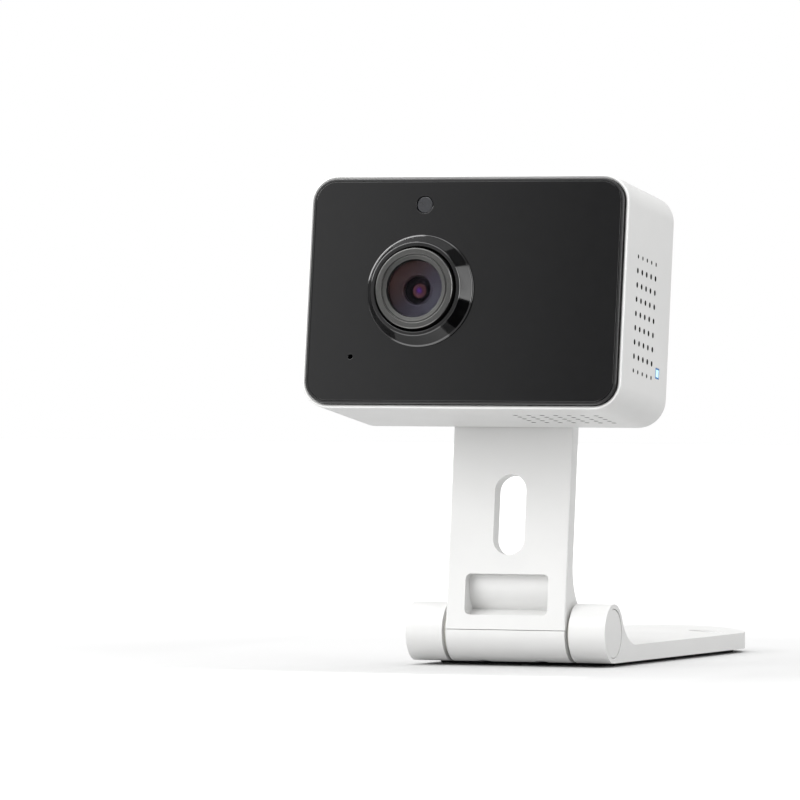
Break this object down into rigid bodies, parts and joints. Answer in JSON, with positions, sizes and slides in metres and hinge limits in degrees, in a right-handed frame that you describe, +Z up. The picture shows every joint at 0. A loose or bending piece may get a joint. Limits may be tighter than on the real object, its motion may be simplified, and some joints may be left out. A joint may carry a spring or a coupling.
{
  "type": "security camera",
  "caption": "Indoor security camera: a white box head with a black front panel and a lens, tilting on an arm that folds on a flat foot.",
  "frame": {"origin": "centre of the rubber pad's underside, on which the camera stands", "axes": "+Z up out of the foot, +Y from the base hinge to the foot's round end, the lens looks towards -Y"},
  "size_m": [0.066, 0.1413, 0.097],
  "materials": {
    "white_shell": "fine satin texture",
    "white_stand": "fine satin texture",
    "black_panel": "polished black",
    "black_bezel": "fine matte texture",
    "lens_ring": "polished black",
    "lens_metal": "black anodised",
    "lens_glass": "coated optical glass",
    "black_insert": "matte black",
    "smoke_window": "smoked, polished",
    "board": "solder mask",
    "chip": "moulded epoxy",
    "can_metal": "tinned sheet",
    "flex_film": "polyimide film",
    "light_guide": "clear moulded",
    "rubber_black": "matte",
    "steel": "machined",
    "dark_steel": "blackened",
    "cone_film": "coated paper film",
    "bush_plastic": "acetal"
  },
  "bodies": {
    "foot": {"foot": "white_stand", "ballast_plate": "steel", "foot_pad": "rubber_black", "base_hinge_pin": "steel", "base_disc_springs": "steel", "base_hinge_nut": "steel", "base_friction_washers": "bush_plastic", "end_cap_right": "white_stand", "end_cap_left": "white_stand"},
    "arm": {"arm": "white_stand", "barrel_cover": "white_stand", "barrel_cover_screws": "dark_steel", "base_bushes": "bush_plastic"},
    "button": {"reset_button": "black_insert"},
    "head": {"housing": "white_shell", "rear_cover": "white_shell", "cover_panel": "black_panel", "front_bezel": "black_bezel", "lens_trim_ring": "lens_ring", "lens_barrel": "lens_metal", "aperture_stop": "lens_metal", "vent_foam": "rubber_black", "speaker_foam": "rubber_black", "lens_front_element": "lens_glass", "lens_second_element": "lens_glass", "ir_cut_filter": "lens_glass", "lens_spacer": "black_insert", "lens_holder": "black_insert", "speaker_frame": "black_insert", "flex_connectors": "black_insert", "light_sensor_window": "smoke_window", "ir_leds": "smoke_window", "sensor_board": "board", "main_board": "board", "image_sensor": "chip", "light_sensor": "chip", "processor": "chip", "reset_switch": "chip", "shield_can": "can_metal", "usb_socket": "can_metal", "microphone": "can_metal", "flex_cable": "flex_film", "antenna": "flex_film", "light_pipe": "light_guide", "status_led": "light_guide", "microphone_boot": "rubber_black", "thermal_pad": "rubber_black", "speaker_gasket": "rubber_black", "tilt_pin": "steel", "speaker_magnet": "steel", "rear_cover_screws": "dark_steel", "sensor_board_screws": "dark_steel", "main_board_screws": "dark_steel", "speaker_cone": "cone_film", "tilt_washers": "bush_plastic"}
  },
  "joints": [
    {"name": "base_fold", "type": "hinge", "parent": "foot", "child": "arm", "pos_m": [0, -0.05526, 0.00668], "axis": [-1, 0, 0], "range_deg": [-95, 83]},
    {"name": "head_tilt", "type": "hinge", "parent": "arm", "child": "head", "pos_m": [0, -0.05425, 0.0705], "axis": [-1, 0, 0], "range_deg": [-8, 24]},
    {"name": "reset_press", "type": "slide", "parent": "head", "child": "button", "axis": [0, -0.9914, 0.1305], "range_m": [0, 0.0005], "stiffness_N_per_m": 400, "springref_m": -0.0005}
  ]
}
